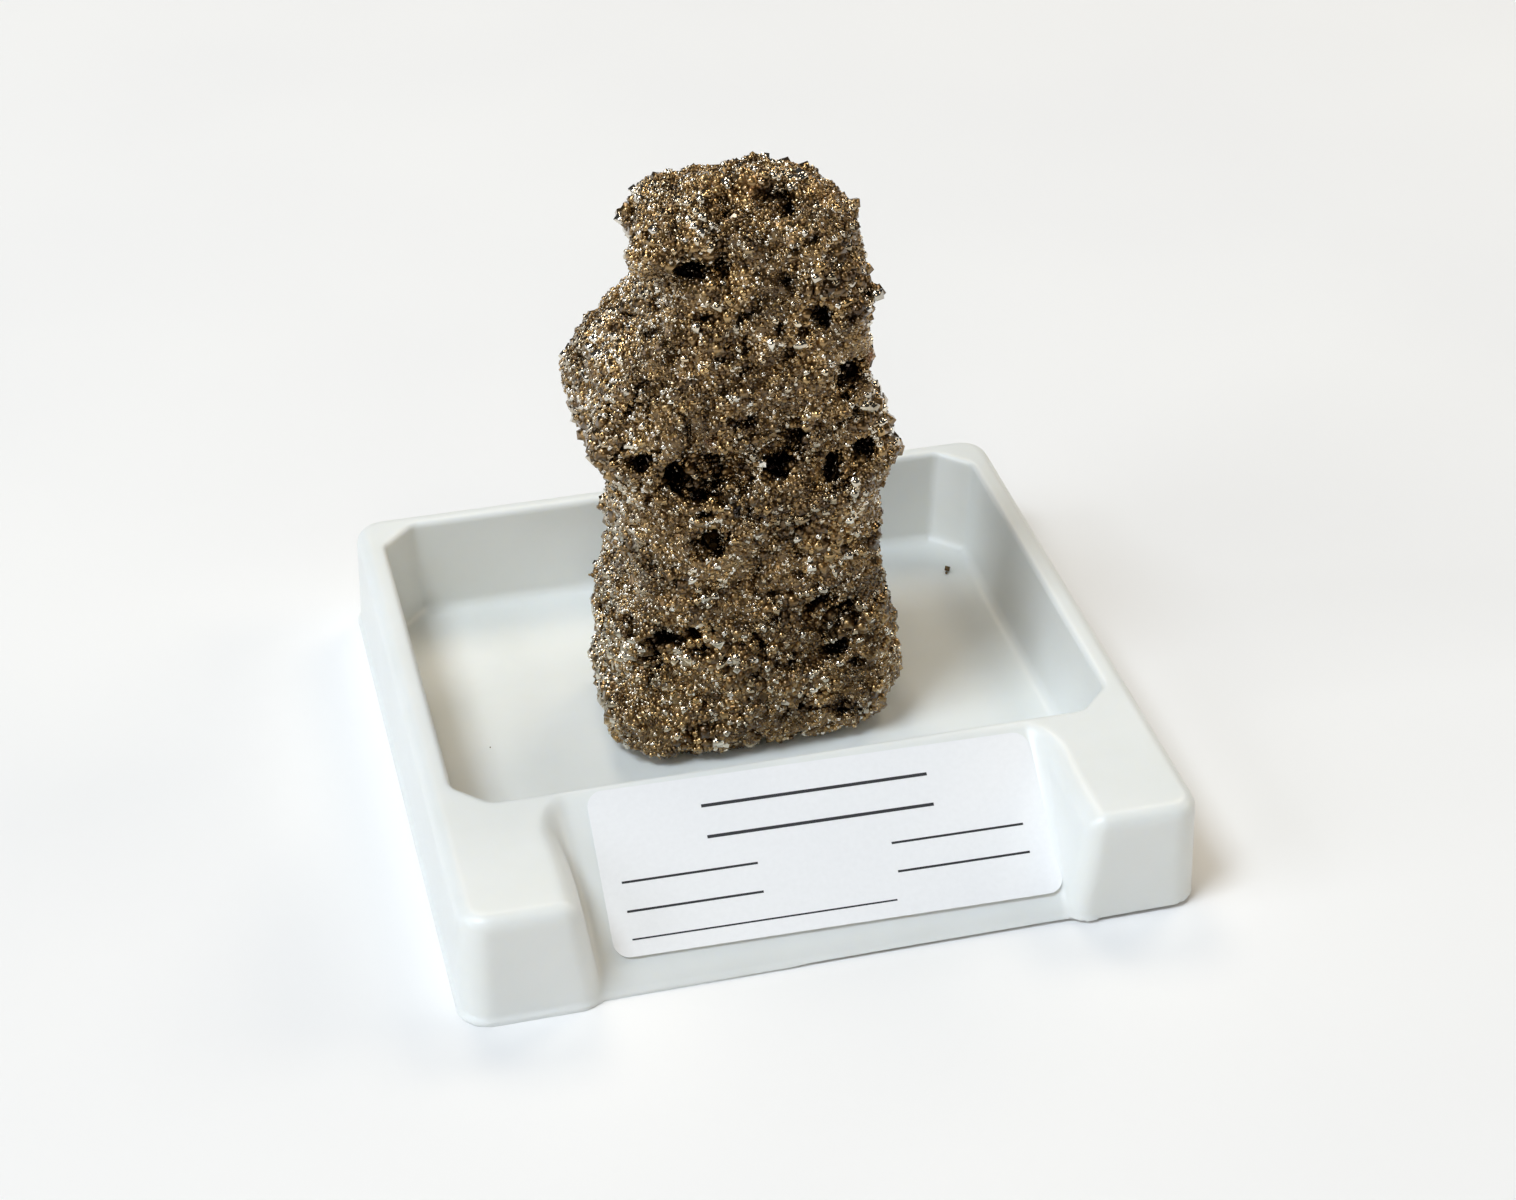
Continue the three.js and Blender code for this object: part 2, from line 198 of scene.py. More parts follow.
# Crumbs of the block that lie on the well's floor, in millimetres: x, y and size
CRUMBS = [(44.0, 38.0, 0.95), (43.6, 37.2, 0.4), (-29.5, -16.0, 0.3), (-40.0, 8.0, 0.2)]
CRUMB_STRETCHES = (0.6, 1.0)
CRUMB_LIFT = 0.55
CRUMB_TONE = 0.3

# The formed tray in millimetres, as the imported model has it
TRAY_HALF_WIDTH = 55.0
TRAY_HALF_DEPTH = 54.4
TRAY_HEIGHT = 18.0
TRAY_CORNER = 4.5
SHEET = 1.2
LIP_HEIGHT = 0.9
LIP_WIDTH = 0.45
LIP_SHOULDER = 0.4
SIDE_DRAFT = 0.5
RIM_RADIUS = 2.2
WELL_HALF_WIDTH = 50.0
WELL_FRONT = -26.6
WELL_BACK = 49.7
WELL_CHAMFER = 5.0
WELL_CHAMFER_RADIUS = 0.5
WELL_FLOOR = 1.5
WELL_DRAFT = 1.3
WELL_RADIUS = 1.6
WELL_RIM_RADIUS = 0.9
RAMP_ANGLE = math.radians(32.3)
RAMP_TOP_Y = -27.9
RAMP_FOOT_Y = -51.2
RAMP_FOOT_ANGLE = math.radians(50)
RAMP_FOOT_RADIUS = 2.0
GROOVE_HALF_WIDTH = 34.8
GROOVE_FLARE = 3.2
GROOVE_FLARE_END = 1.2
GROOVE_DRAFT = 0.18
GROOVE_RADIUS = 1.0
GROOVE_RADIUS_GROWTH = 2.6
PAD_RADIUS = 2.8
CREST_RADIUS = 0.5
CREST_BLEND_START = 7
CREST_BLEND_LENGTH = 6

# The sheet has warped a little: the foot is off the table toward the right front
FOOT_LIFT = 0.7
LIFT_LEFT_END = -30
LIFT_WIDTH = 80
LIFT_BACK_END = -20
LIFT_DEPTH = 30

# The grid that the tray is cut on, in millimetres: stretches of start, end and step, fine where it curves.
# Edges sharper than the angle stay crisp.
GRID_HALF_X = [(0, 33, 3), (33, 44, 0.5), (44, 56, 0.4)]
GRID_Y = [(-56, -47, 0.45), (-47, -35, 0.6), (-35, -20, 0.45), (-20, 42, 2), (42, 56, 0.4)]
GRID_Z = [(-0.6, 4, 0.4), (4, 13, 0.5), (13, 19, 0.35)]
SHARP_EDGE = math.radians(40)

# The label, in millimetres. Each ruled line has the x and y of its middle, its length and its width.
LABEL_THICKNESS = 0.15
LABEL_TURN = math.radians(-0.9)
LABEL_RULES = [
    (0.0, 8.2, 34.0, 0.5),
    (0.0, 3.4, 34.0, 0.5),
    (-20.5, -1.6, 20.0, 0.35),
    (-20.5, -6.0, 20.0, 0.35),
    (-11.0, -10.2, 39.0, 0.25),
    (19.5, -1.6, 20.0, 0.35),
    (19.5, -6.0, 20.0, 0.35),
]
INK_LIFT = 0.02


# Helpers

def linear(hex_colour):
    """An sRGB hex value as the linear colour that a shader takes."""
    channels = [int(hex_colour[i:i + 2], 16) / 255 for i in (1, 3, 5)]
    return tuple(c / 12.92 if c <= 0.04045 else ((c + 0.055) / 1.055) ** 2.4 for c in channels) + (1.0,)


def add_node(tree, kind, settings=None, inputs=None, stops=()):
    """Adds one shader node. A value goes on the socket itself, and another node's output is linked to it.

    The stops of a colour ramp are pairs of a position and an sRGB hex colour, from low to high.
    """
    made = tree.nodes.new("ShaderNode" + kind)
    for name, value in (settings or {}).items():
        setattr(made, name, value)
    for socket, value in (inputs or {}).items():
        if isinstance(value, bpy.types.NodeSocket):
            tree.links.new(value, made.inputs[socket])
        else:
            made.inputs[socket].default_value = value
    for number, (position, colour) in enumerate(stops):
        elements = made.color_ramp.elements
        stop = elements[number] if number < 2 else elements.new(position)
        stop.position = position
        stop.color = linear(colour)
    return made


def new_material(name):
    """An empty material, and the tree to build it in."""
    material = bpy.data.materials.new(name)
    material.use_nodes = True
    material.node_tree.nodes.clear()
    return material, material.node_tree


def finish_material(tree, shader):
    """Links the last shader of a material to its output."""
    add_node(tree, "OutputMaterial", inputs={"Surface": shader.outputs[0]})


def new_piece(name, mesh, material, slot, *nodes):
    """A piece of the object: it rides on the one body, and stands for the CAD nodes that are named."""
    piece = bpy.data.objects.new(name, mesh)
    bpy.context.scene.collection.objects.link(piece)
    mesh.materials.clear()
    mesh.materials.append(material)
    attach(piece, "root")
    if nodes:
        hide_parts(*nodes)
    return piece


# Materials

def pyrite_material():
    """Pyrite, grown as tiny flat-faced crystals: most have an olive tarnish, and clean ones glint white."""
    material, tree = new_material("pyrite_grown_crystals")
    place = add_node(tree, "TexCoord").outputs["Object"]
    # Each crystal has its own tarnish, from 0, brown and dull, to 1, clean
    clean = add_node(tree, "Attribute", {"attribute_name": "clean"}).outputs["Fac"]
    tone = add_node(tree, "ValToRGB", inputs={"Fac": clean}, stops=[
        (0.0, "#5e4423"), (0.35, "#a08050"), (0.74, "#cbaa74"), (0.84, "#efe2ca"), (1.0, "#fffaf0")])
    # The tarnish is thicker in some patches a few millimetres across
    patches = add_node(tree, "TexNoise", inputs={"Vector": place, "Scale": 1 / TARNISH_PATCH, "Detail": 5.0})
    shade = add_node(tree, "ValToRGB", inputs={"Fac": patches.outputs["Fac"]}, stops=[
        (0.35, "#a39a88"), (0.62, "#ffffff")])
    dulled = add_node(tree, "Mix", {"data_type": "RGBA", "blend_type": "MULTIPLY"}, {
        "Factor": 1.0, "A": tone.outputs["Color"], "B": shade.outputs["Color"]})
    # Painted shade: pits, cracks and gaps between crystals darken by their pit value, as little light
    # reaches them
    pit = add_node(tree, "Attribute", {"attribute_name": "pit"})
    colour = add_node(tree, "Mix", {"data_type": "RGBA"}, {
        "Factor": pit.outputs["Fac"], "A": dulled.outputs["Result"], "B": linear("#1c0c03")})
    # Rust has come out in a few spots
    rust = add_node(tree, "Attribute", {"attribute_name": "rust"}).outputs["Fac"]
    rusted = add_node(tree, "Mix", {"data_type": "RGBA"}, {
        "Factor": rust, "A": colour.outputs["Result"], "B": linear("#a85a24")})
    metallic = add_node(tree, "MapRange", inputs={"Value": rust, "To Min": 1.0, "To Max": 0.2})
    rough = add_node(tree, "MapRange", inputs={
        "Value": clean, "From Min": 0.5, "From Max": 0.88, "To Min": 0.3, "To Max": 0.05})
    # Growth steps turn parts of a face a little. Real ones are finer: these are coarse enough to show.
    steps = add_node(tree, "TexVoronoi", inputs={"Vector": place, "Scale": 1 / GROWTH_STEP})
    turn = add_node(tree, "VectorMath", {"operation": "SUBTRACT"}, {
        0: steps.outputs["Color"], 1: (0.5, 0.5, 0.5)})
    small = add_node(tree, "VectorMath", {"operation": "SCALE"}, {
        0: turn.outputs[0], "Scale": GROWTH_STEP_TURN})
    normal = add_node(tree, "NewGeometry").outputs["Normal"]
    tilted = add_node(tree, "VectorMath", {"operation": "ADD"}, {0: normal, 1: small.outputs[0]})
    unit = add_node(tree, "VectorMath", {"operation": "NORMALIZE"}, {0: tilted.outputs[0]})
    metal = add_node(tree, "BsdfPrincipled", inputs={
        "Base Color": rusted.outputs["Result"],
        "Metallic": metallic.outputs[0],
        "Roughness": rough.outputs[0],
        "Normal": unit.outputs[0],
        "Coat Weight": 0.8, "Coat Roughness": 0.05, "Coat Normal": unit.outputs[0]})
    finish_material(tree, metal)
    return material


def tray_material():
    """Polystyrene, vacuum formed from sheet: cool white with a satin gloss, and a faint haze and ripple."""
    material, tree = new_material("polystyrene_vacuum_formed")
    place = add_node(tree, "TexCoord").outputs["Object"]
    haze = add_node(tree, "TexNoise", inputs={"Vector": place, "Scale": 1 / PLASTIC_HAZE, "Detail": 3.0})
    tone = add_node(tree, "ValToRGB", inputs={"Fac": haze.outputs["Fac"]}, stops=[
        (0.3, "#e6e9e6"), (0.7, "#ecefed")])
    rough = add_node(tree, "MapRange", inputs={
        "Value": haze.outputs["Fac"], "To Min": 0.30, "To Max": 0.42})
    peel = add_node(tree, "TexNoise", inputs={"Vector": place, "Scale": 1 / PLASTIC_PEEL, "Detail": 2.0})
    bump = add_node(tree, "Bump", inputs={
        "Strength": 0.05, "Distance": 0.1 * MM, "Height": peel.outputs["Fac"]})
    plastic = add_node(tree, "BsdfPrincipled", inputs={
        "Base Color": tone.outputs["Color"], "Roughness": rough.outputs[0], "IOR": 1.59,
        "Normal": bump.outputs[0],
        "Subsurface Weight": 0.3, "Subsurface Radius": (1.0, 0.9, 0.75), "Subsurface Scale": 2 * MM})
    finish_material(tree, plastic)
    return material


def label_material():
    """Label paper, coated: bright white and nearly matt, with a faint fibre."""
    material, tree = new_material("label_paper_coated")
    place = add_node(tree, "TexCoord").outputs["Object"]
    # Real fibres are finer: these are coarse enough to show
    fibre = add_node(tree, "TexNoise", inputs={"Vector": place, "Scale": 1 / PAPER_FIBRE, "Detail": 4.0})
    tone = add_node(tree, "ValToRGB", inputs={"Fac": fibre.outputs["Fac"]}, stops=[
        (0.3, "#f0f1f3"), (0.7, "#f3f4f6")])
    bump = add_node(tree, "Bump", inputs={
        "Strength": 0.06, "Distance": 0.03 * MM, "Height": fibre.outputs["Fac"]})
    paper = add_node(tree, "BsdfPrincipled", inputs={
        "Base Color": tone.outputs["Color"], "Roughness": 0.55, "IOR": 1.45, "Normal": bump.outputs[0]})
    finish_material(tree, paper)
    return material


def ink_material():
    """Printer's ink on the label: nearly black and dry, with no gloss of its own."""
    material, tree = new_material("label_ink_printed")
    ink = add_node(tree, "BsdfPrincipled", inputs={"Base Color": linear("#2b2c30"), "Roughness": 0.6})
    finish_material(tree, ink)
    return material


def table_material():
    """Seamless paper sweep under the tray: plain pale white, matt."""
    material, tree = new_material("sweep_paper_matt")
    place = add_node(tree, "TexCoord").outputs["Object"]
    cloud = add_node(tree, "TexNoise", inputs={"Vector": place, "Scale": 1 / SWEEP_CLOUD, "Detail": 2.0})
    tone = add_node(tree, "ValToRGB", inputs={"Fac": cloud.outputs["Fac"]}, stops=[
        (0.3, "#eeeeef"), (0.7, "#f2f2f2")])
    paper = add_node(tree, "BsdfPrincipled", inputs={"Base Color": tone.outputs["Color"], "Roughness": 0.9})
    finish_material(tree, paper)
    return material


# The block

def remeshed(source, voxel):
    """A fine even copy of a CAD node's mesh."""
    rough = bpy.data.objects.new("remesh_work", source.data.copy())
    bpy.context.scene.collection.objects.link(rough)
    remesh = rough.modifiers.new("even", "REMESH")
    remesh.mode = "VOXEL"
    remesh.voxel_size = voxel
    graph = bpy.context.evaluated_depsgraph_get()
    mesh = bpy.data.meshes.new_from_object(rough.evaluated_get(graph))
    bpy.data.objects.remove(rough)
    return mesh


def noise_at(in_mm, spacing, shift=(0, 0, 0)):
    """Smooth noise between -1 and 1 at a point, with about the given spacing in millimetres."""
    return noise.noise(in_mm / spacing + Vector(shift))


def vug_depth(in_mm):
    """How deep the open pits are at a point, and how far inside one it is, from 0 to 1."""
    ragged = sum(reach * noise_at(in_mm, spacing) for spacing, reach in VUG_RAGS)
    deepest = 0.0
    inside = 0.0
    for x, y, z, half_width, half_height, depth in VUGS:
        offset = Vector((
            (in_mm.x - x) / half_width, (in_mm.y - y) / VUG_HALF_LENGTH, (in_mm.z - z) / half_height))
        away = offset.length / VUG_SPREAD + ragged
        fall = 1 - max(0.0, away) ** 2
        if fall > 0:
            deepest = max(deepest, depth * math.sqrt(fall))
            inside = max(inside, min(1.0, VUG_SHADE * fall))
    return deepest, inside


def skin_depth(point):
    """How far the skin lies below the solid's surface at a point, and how pit-like it is there."""
    in_mm = point / MM
    # Lumps of two sizes with creases between them, and a grain over both
    sunk = sum(height * (crease - abs(noise_at(in_mm, spacing))) for spacing, height, crease in LUMPS)
    sunk += GRAIN_HEIGHT * noise_at(in_mm, GRAIN_SPACING)
    small_pit = max(0.0, noise_at(in_mm, SMALL_PIT_SPACING, SMALL_PIT_SHIFT) - SMALL_PIT_RARITY)
    crack = max(0.0, 1 - abs(noise_at(in_mm, CRACK_SPACING, CRACK_SHIFT)) / CRACK_WIDTH)
    patch = noise_at(in_mm, CRACKED_PATCH_SPACING, CRACKED_PATCH_SHIFT)
    crack *= min(1.0, max(0.0, CRACKED_SHARE + CRACKED_CONTRAST * patch))
    vug, inside = vug_depth(in_mm)
    relief = max(-HIGHEST_LUMP, sunk) + SMALL_PIT_DEPTH * small_pit + CRACK_DEPTH * crack + vug
    # Painted shade: the darkening that pits and cracks get, which the material reads as the pit value
    shade = inside + SMALL_PIT_SHADE * small_pit + CRACK_SHADE * crack
    return SKIN_RECESS + relief * MM, min(1.0, shade)


def make_skin():
    """The block's skin with its small lumps and pits. Returns its mesh, and each corner's pit value."""
    mesh = remeshed(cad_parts["pyrite"], SKIN_VOXEL)
    pits = np.zeros(len(mesh.vertices))
    normals = [vertex.normal.copy() for vertex in mesh.vertices]
    for vertex, normal in zip(mesh.vertices, normals):
        depth, pits[vertex.index] = skin_depth(vertex.co)
        vertex.co -= normal * depth
    return mesh, pits


def rust_at(places):
    """How rusty the block is at each place, from 0 to 1."""
    rust = np.zeros(len(places))
    for x, y, z, radius in RUST_SPOTS:
        away = np.linalg.norm(places / MM - (x, y, z), axis=1) / radius
        rust = np.maximum(rust, np.clip(RUST_REACH - away, 0, 1))
    return rust


def random_turns(rng, count):
    """Evenly spread random rotations, as matrices made from random quaternions."""
    quaternions = rng.normal(size=(count, 4))
    quaternions /= np.linalg.norm(quaternions, axis=1)[:, None]
    w, x, y, z = quaternions.T
    return np.stack([
        1 - 2 * (y * y + z * z), 2 * (x * y - z * w), 2 * (x * z + y * w),
        2 * (x * y + z * w), 1 - 2 * (x * x + z * z), 2 * (y * z - x * w),
        2 * (x * z - y * w), 2 * (y * z + x * w), 1 - 2 * (x * x + y * y)], axis=1).reshape(count, 3, 3)


def scatter(rng, mesh, pits, count):
    """Random places on a mesh, even by area, with the outward direction and the pit value there."""
    mesh.calc_loop_triangles()
    corners = np.zeros(len(mesh.loop_triangles) * 3, int)
    mesh.loop_triangles.foreach_get("vertices", corners)
    corners = corners.reshape(-1, 3)
    co = np.zeros(len(mesh.vertices) * 3)
    mesh.vertices.foreach_get("co", co)
    co = co.reshape(-1, 3)
    a, b, c = (co[corners[:, i]] for i in range(3))
    across = np.cross(b - a, c - a)
    area = np.linalg.norm(across, axis=1)
    chosen = rng.choice(len(corners), size=count, p=area / area.sum())
    u, v = rng.random((2, count))
    flip = u + v > 1
    u[flip], v[flip] = 1 - u[flip], 1 - v[flip]
    places = a[chosen] + (b - a)[chosen] * u[:, None] + (c - a)[chosen] * v[:, None]
    outward = across[chosen] / area[chosen][:, None]
    return places, outward, pits[corners[chosen]].mean(axis=1)


def set_attribute(mesh, name, values):
    """Gives each corner of a mesh a number that its material reads."""
    attribute = mesh.attributes.new(name, "FLOAT", "POINT")
    attribute.data.foreach_set("value", values)


def crystal_mesh(name, crystals):
    """Joined small crystals, each a block of flat faces turned its own way."""
    count = len(crystals["place"])
    blocks = CUBE_CORNERS[None] * crystals["size"][:, None, :]
    corners = np.einsum("nij,ncj->nci", crystals["turn"], blocks) + crystals["place"][:, None, :]
    faces = CUBE_FACES[None] + np.arange(count)[:, None, None] * len(CUBE_CORNERS)
    mesh = bpy.data.meshes.new(name)
    mesh.vertices.add(corners.size // 3)
    mesh.vertices.foreach_set("co", corners.ravel())
    mesh.loops.add(faces.size)
    mesh.loops.foreach_set("vertex_index", faces.ravel())
    mesh.polygons.add(count * len(CUBE_FACES))
    mesh.polygons.foreach_set("loop_start", np.arange(count * len(CUBE_FACES)) * 4)
    mesh.update(calc_edges=True)
    for value in ("pit", "clean", "rust"):
        set_attribute(mesh, value, np.repeat(crystals[value], len(CUBE_CORNERS)))
    return mesh


def coarseness(places):
    """How coarse the crystals grew at each place: from fine sugary patches to coarse bands."""
    field = np.array([noise.noise(Vector(place) / COARSE_PATCH) for place in places])
    return np.exp(COARSE_CONTRAST * np.clip(field, *COARSE_RANGE))


def fresh_and_left_lit(rng, outward):
    """How clean each crystal is, from 0 to 1. Left-facing ones are cleaner: a fresher break, plus painted
    light.
    """
    # Painted light in part: the more a crystal faces left, the cleaner and lighter it is made
    fresh_and_lit = np.clip(-LEFT_FRESH_AND_LIT_START - LEFT_FRESH_AND_LIT_RISE * outward[:, 0], 0, 1)
    return rng.random(len(outward)) ** (1 / (1 + LEFT_FRESH_AND_LIT_EFFECT * fresh_and_lit))


def with_room(places, edges):
    """The seeds that grew on: the largest crystals come first, and each keeps some room to itself."""
    tree = kdtree.KDTree(len(places))
    for number, place in enumerate(places):
        tree.insert(place, number)
    tree.balance()
    crowded = np.zeros(len(places), bool)
    grown = []
    for seed in np.argsort(-edges, kind="stable"):
        if crowded[seed]:
            continue
        grown.append(seed)
        for _, near, distance in tree.find_range(places[seed], CRYSTAL_ROOM * edges[seed]):
            if distance < CRYSTAL_ROOM * (edges[seed] + edges[near]) / 2:
                crowded[near] = True
    return np.array(grown)


def grow_crystals(rng, skin, pits):
    """Where the crystals are, how big each is, how it is turned, and how clean."""
    place, outward, pit = scatter(rng, skin, pits, CRYSTAL_SEEDS)
    edge = CRYSTAL_MEDIAN * np.exp(rng.normal(size=CRYSTAL_SEEDS) * CRYSTAL_SPREAD) * coarseness(place)
    edge = np.minimum(edge, CRYSTAL_LARGEST)
    # Few crystals line the open pits, and none reaches past the solid's box
    empty = (pit > VUG_INNER_SHADE) & (rng.random(CRYSTAL_SEEDS) > KEPT_IN_VUGS)
    low, high = (np.array(corner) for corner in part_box("pyrite"))
    reach = edge[:, None] * CRYSTAL_REACH
    inside = np.all((place - reach > low) & (place + reach < high), axis=1) & ~empty
    place, outward, pit, edge = place[inside], outward[inside], pit[inside], edge[inside]
    grown = with_room(place, edge)
    place, outward, pit, edge = place[grown], outward[grown], pit[grown], edge[grown]
    count = len(grown)
    place = place + outward * (edge * rng.uniform(*CRYSTAL_LIFTS, count))[:, None]
    order = rng.permutation(count)
    crystals = {
        "place": place,
        "pit": pit,
        "turn": random_turns(rng, count),
        "size": edge[:, None] * rng.uniform(*CRYSTAL_STRETCHES, (count, 3)),
        "clean": fresh_and_left_lit(rng, outward),
        "rust": rust_at(place),
    }
    return {name: values[order] for name, values in crystals.items()}


def make_block(material):
    """The block: its skin in place of the CAD solid, and its crystals in a few joined pieces."""
    rng = np.random.default_rng(SEED)
    skin, pits = make_skin()
    crystals = grow_crystals(rng, skin, pits)
    # Painted shade: the skin in the gaps between crystals is darkened at least SHADE_BETWEEN_CRYSTALS
    set_attribute(skin, "pit", np.maximum(pits, SHADE_BETWEEN_CRYSTALS))
    set_attribute(skin, "clean", rng.random(len(skin.vertices)) * SKIN_CLEANEST)
    set_attribute(skin, "rust", rust_at(np.array([vertex.co for vertex in skin.vertices])))
    new_piece("pyrite_skin", skin, material, "pyrite", "pyrite")
    for number, start in enumerate(range(0, len(crystals["place"]), CRYSTALS_PER_PIECE)):
        name = f"pyrite_crystals_{number}"
        share = {key: values[start:start + CRYSTALS_PER_PIECE] for key, values in crystals.items()}
        new_piece(name, crystal_mesh(name, share), material, "pyrite")


def make_crumbs(material):
    """Crumbs of the block on the floor of the well."""
    rng = np.random.default_rng(SEED + 1)
    count = len(CRUMBS)
    size = np.array([crumb[2] for crumb in CRUMBS]) * MM
    place = np.array([(x, y, WELL_FLOOR) for x, y, _ in CRUMBS]) * MM
    place[:, 2] += size * CRUMB_LIFT
    crumbs = {
        "place": place,
        "turn": random_turns(rng, count),
        "size": size[:, None] * rng.uniform(*CRUMB_STRETCHES, (count, 3)),
        "pit": np.full(count, CRUMB_TONE),
        "clean": np.full(count, CRUMB_TONE),
        "rust": np.zeros(count),
    }
    new_piece("pyrite_crumbs", crystal_mesh("pyrite_crumbs", crumbs), material, "pyrite")


# The tray and its label

def rounded_and(a, b, radius):
    """The depth field of what lies in both a and b, with their shared edge rounded. Negative is inside."""
    beyond = np.hypot(np.maximum(a + radius, 0), np.maximum(b + radius, 0))
    return np.minimum(np.maximum(a, b), -radius) + beyond


def outer_side(x, y, z):
    """Depth inside the tray's drafted outer walls, above a thin lip at their foot."""
    lip = LIP_WIDTH * np.clip((z - LIP_HEIGHT) / LIP_SHOULDER + 0.5, 0, 1)
    inset = lip + SIDE_DRAFT * z / TRAY_HEIGHT + TRAY_CORNER
    over_x = np.abs(x) - (TRAY_HALF_WIDTH - inset)
    over_y = np.abs(y) - (TRAY_HALF_DEPTH - inset)
    outside = np.hypot(np.maximum(over_x, 0), np.maximum(over_y, 0))
    return outside + np.minimum(np.maximum(over_x, over_y), 0) - TRAY_CORNER


def well_side(x, y, z):
    """Depth inside the well's walls, whose corners are cut at 45 degrees."""
    inset = WELL_DRAFT * (1 - z / TRAY_HEIGHT)
    over_x = np.abs(x) - (WELL_HALF_WIDTH - inset)
    over_y = np.abs(y - (WELL_FRONT + WELL_BACK) / 2) - ((WELL_BACK - WELL_FRONT) / 2 - inset)
    over_corner = (over_x + over_y + WELL_CHAMFER) / math.sqrt(2)
    return rounded_and(np.maximum(over_x, over_y), over_corner, WELL_CHAMFER_RADIUS)


def groove(x, y, z):
    """Depth inside the space over the label ramp, between the two front pads."""
    ramp = (z - TRAY_HEIGHT) * math.cos(RAMP_ANGLE) - (y - RAMP_TOP_Y) * math.sin(RAMP_ANGLE)
    foot_height = TRAY_HEIGHT + (RAMP_FOOT_Y - RAMP_TOP_Y) * math.tan(RAMP_ANGLE)
    foot = (z - foot_height) * math.cos(RAMP_FOOT_ANGLE) - (y - RAMP_FOOT_Y) * math.sin(RAMP_FOOT_ANGLE)
    floor = rounded_and(ramp, foot, RAMP_FOOT_RADIUS)
    along = np.clip((y + TRAY_HALF_DEPTH) / (RAMP_TOP_Y + TRAY_HALF_DEPTH), 0, GROOVE_FLARE_END)
    half_width = GROOVE_HALF_WIDTH + GROOVE_FLARE * along ** 2 + GROOVE_DRAFT * np.maximum(ramp, 0)
    return rounded_and(np.abs(x) - half_width, -floor, GROOVE_RADIUS + GROOVE_RADIUS_GROWTH * along ** 2)


def foot_lift(x, y):
    """How far the foot of the warped sheet stands off the table."""
    to_the_right = np.clip((x - LIFT_LEFT_END) / LIFT_WIDTH, 0, 1)
    to_the_front = np.clip((LIFT_BACK_END - y) / LIFT_DEPTH, 0, 1)
    return FOOT_LIFT * to_the_right * to_the_front


def tray_field(x, y, z):
    """Depth inside the tray's sheet: negative in the plastic, in millimetres."""
    well = rounded_and(well_side(x, y, z), WELL_FLOOR - z, WELL_RADIUS)
    form = rounded_and(outer_side(x, y, z), z - TRAY_HEIGHT, RIM_RADIUS)
    form = rounded_and(form, -well, WELL_RIM_RADIUS)
    # The pads are well rounded, and the crest between ramp and well is crisp
    toward_crest = np.clip((y - RAMP_TOP_Y + CREST_BLEND_START) / CREST_BLEND_LENGTH, 0, 1)
    form = rounded_and(form, -groove(x, y, z), PAD_RADIUS + (CREST_RADIUS - PAD_RADIUS) * toward_crest)
    hollow = np.maximum(form + SHEET, SHEET - well_side(x, y, z))
    return np.maximum(np.maximum(form, -hollow), foot_lift(x, y) - z)


def graded(stretches):
    """Grid lines from stretches of start, end and step."""
    lines = [np.arange(start, end - step / 2, step) for start, end, step in stretches]
    return np.concatenate(lines + [[stretches[-1][1]]])


def net_corners(field, lines):
    """One corner for each grid cell that the surface crosses: the mean of its crossings.

    Also numbers those cells, and says which grid points lie in the plastic.
    """
    below = field < 0
    shifts = [(i, j, k) for i in (0, 1) for j in (0, 1) for k in (0, 1)]
    size = np.array(field.shape) - 1
    view = {at: field[at[0]:at[0] + size[0], at[1]:at[1] + size[1], at[2]:at[2] + size[2]] for at in shifts}
    held = sum((view[at] < 0).astype(int) for at in shifts)
    cells = np.argwhere((held > 0) & (held < len(shifts)))
    number = np.full(size, -1)
    number[tuple(cells.T)] = np.arange(len(cells))
    total = np.zeros((len(cells), 3))
    crossings = np.zeros(len(cells))
    for at in shifts:
        for axis in range(3):
            if at[axis]:
                continue
            end = tuple(c + (n == axis) for n, c in enumerate(at))
            f0, f1 = view[at][tuple(cells.T)], view[end][tuple(cells.T)]
            crossed = (f0 < 0) != (f1 < 0)
            t = f0[crossed] / (f0[crossed] - f1[crossed])
            for n in range(3):
                start = lines[n][cells[crossed, n] + at[n]]
                step = lines[n][cells[crossed, n] + end[n]] - start
                total[crossed, n] += start + (t * step if n == axis else 0)
            crossings[crossed] += 1
    return total / crossings[:, None], number, below


def net_faces(number, below):
    """A four-sided face for each grid line piece that the surface crosses."""
    faces = []
    for axis in range(3):
        order = (axis, (axis + 1) % 3, (axis + 2) % 3)
        cell, held = number.transpose(order), below.transpose(order)
        crossed = (held[:-1] != held[1:])[:, 1:-1, 1:-1]
        ring = [cell[:, :-1, :-1], cell[:, 1:, :-1], cell[:, 1:, 1:], cell[:, :-1, 1:]]
        quads = np.stack([side[crossed] for side in ring], axis=1)
        outward = held[:-1, 1:-1, 1:-1][crossed]
        faces.append(np.where(outward[:, None], quads, quads[:, ::-1]))
    return np.concatenate(faces)


def settle(places, field, rounds=4, reach=0.01, least_slope=0.5, longest=0.4):
    """Moves corners onto the surface of a depth field, along its slope, by no more than longest a round."""
    for _ in range(rounds):
        depth = field(*places.T)
        rises = [field(*(places + step).T) - field(*(places - step).T) for step in np.eye(3) * reach]
        slope = np.stack(rises, axis=1) / (2 * reach)
        steep = np.maximum((slope ** 2).sum(axis=1), least_slope ** 2)
        places = places - np.clip(depth / steep, -longest, longest)[:, None] * slope
    return places


